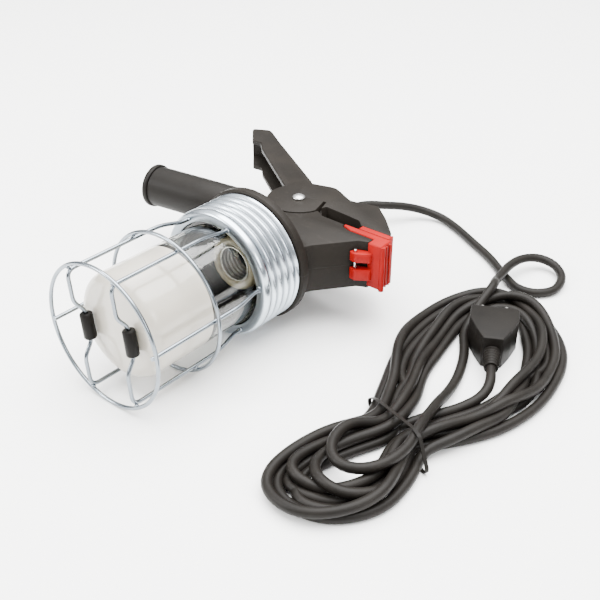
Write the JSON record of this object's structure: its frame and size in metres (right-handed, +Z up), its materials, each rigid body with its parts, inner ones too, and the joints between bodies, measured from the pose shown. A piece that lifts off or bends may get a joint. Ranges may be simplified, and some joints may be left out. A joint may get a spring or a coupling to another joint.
{
  "type": "hand inspection lamp",
  "caption": "Caged hand inspection lamp with glass jar, screw lampholder, threaded collar, round grip, sprung clamp jaws and a coiled mains lead with plug.",
  "frame": {"origin": "middle of the lamp's footprint on the surface it lies on, measured without the lead, hank and plug", "axes": "+X along the cage axis towards the front of the cage, +Y from the handle side to the jaw side, +Z up from the surface"},
  "size_m": [0.396, 0.3996, 0.1118],
  "materials": {
    "black_moulding": "fine grained moulding",
    "grip_rubber": "soft satin moulding",
    "pin_steel": "bright formed steel",
    "spring_steel": "oiled spring wire",
    "red_plastic": "satin red moulding",
    "zinc_sheet": "bright zinc plated rolled sheet",
    "zinc_wire": "bright zinc plated wire",
    "black_rubber": "matt rubber",
    "jar_glass": "frosted front, clear neck",
    "holder_black": "glossy thermoset",
    "cream_ceramic": "glazed ceramic",
    "plated_brass": "nickel plated brass",
    "copper": "bright copper",
    "screw_steel": "zinc plated steel",
    "cord_rubber": "satin rubber sheath",
    "plug_rubber": "moulded rubber"
  },
  "bodies": {
    "lamp": {"lamp_body": "black_moulding", "handle_grip": "grip_rubber", "handle_cap": "grip_rubber", "pivot_pin": "pin_steel", "torsion_spring": "spring_steel", "near_jaw_pad": "red_plastic", "near_pad_pin": "pin_steel", "holder_body": "holder_black", "holder_ring": "cream_ceramic", "thread_shell": "plated_brass", "contact_base": "cream_ceramic", "centre_contact": "copper", "holder_screw_1": "screw_steel", "holder_screw_2": "screw_steel", "cord_gland": "black_rubber", "cord_clamp_bar": "screw_steel", "clamp_screw_1": "screw_steel", "clamp_screw_2": "screw_steel", "power_cord": "cord_rubber", "cord_hank": "cord_rubber", "hank_tie": "cord_rubber", "plug_body": "plug_rubber", "plug_relief": "plug_rubber", "plug_pin_1": "plated_brass", "plug_pin_2": "plated_brass"},
    "lever": {"clamp_lever": "black_moulding", "far_jaw_pad": "red_plastic"},
    "jar": {"glass_jar": "jar_glass", "jar_gasket": "black_rubber"},
    "cage": {"cage_collar": "zinc_sheet", "front_hoop": "zinc_wire", "middle_hoop": "zinc_wire", "u_wire_left": "zinc_wire", "u_wire_right": "zinc_wire", "side_wire_left": "zinc_wire", "side_wire_right": "zinc_wire", "wire_sleeve_left": "black_rubber", "wire_sleeve_right": "black_rubber"}
  },
  "joints": [
    {"name": "lever_swing", "type": "hinge", "parent": "lamp", "child": "lever", "pos_m": [-0.05806, 0.02236, 0.056], "axis": [0, 0, 1], "range_deg": [0, 26], "stiffness_Nm_per_rad": 1.2, "springref_deg": -28.65},
    {"name": "jar_slide", "type": "slide", "parent": "lamp", "child": "jar", "axis": [1, 0, 0], "range_m": [0, 0.0281]},
    {"name": "cage_turn", "type": "hinge", "parent": "jar", "child": "cage", "pos_m": [0.01294, 0.03136, 0.056], "axis": [1, 0, 0], "range_deg": [0, 1440]}
  ],
  "couplings": [
    {"joint": "jar_slide", "follows": "cage_turn", "m_per_rad": 0.0011141}
  ]
}
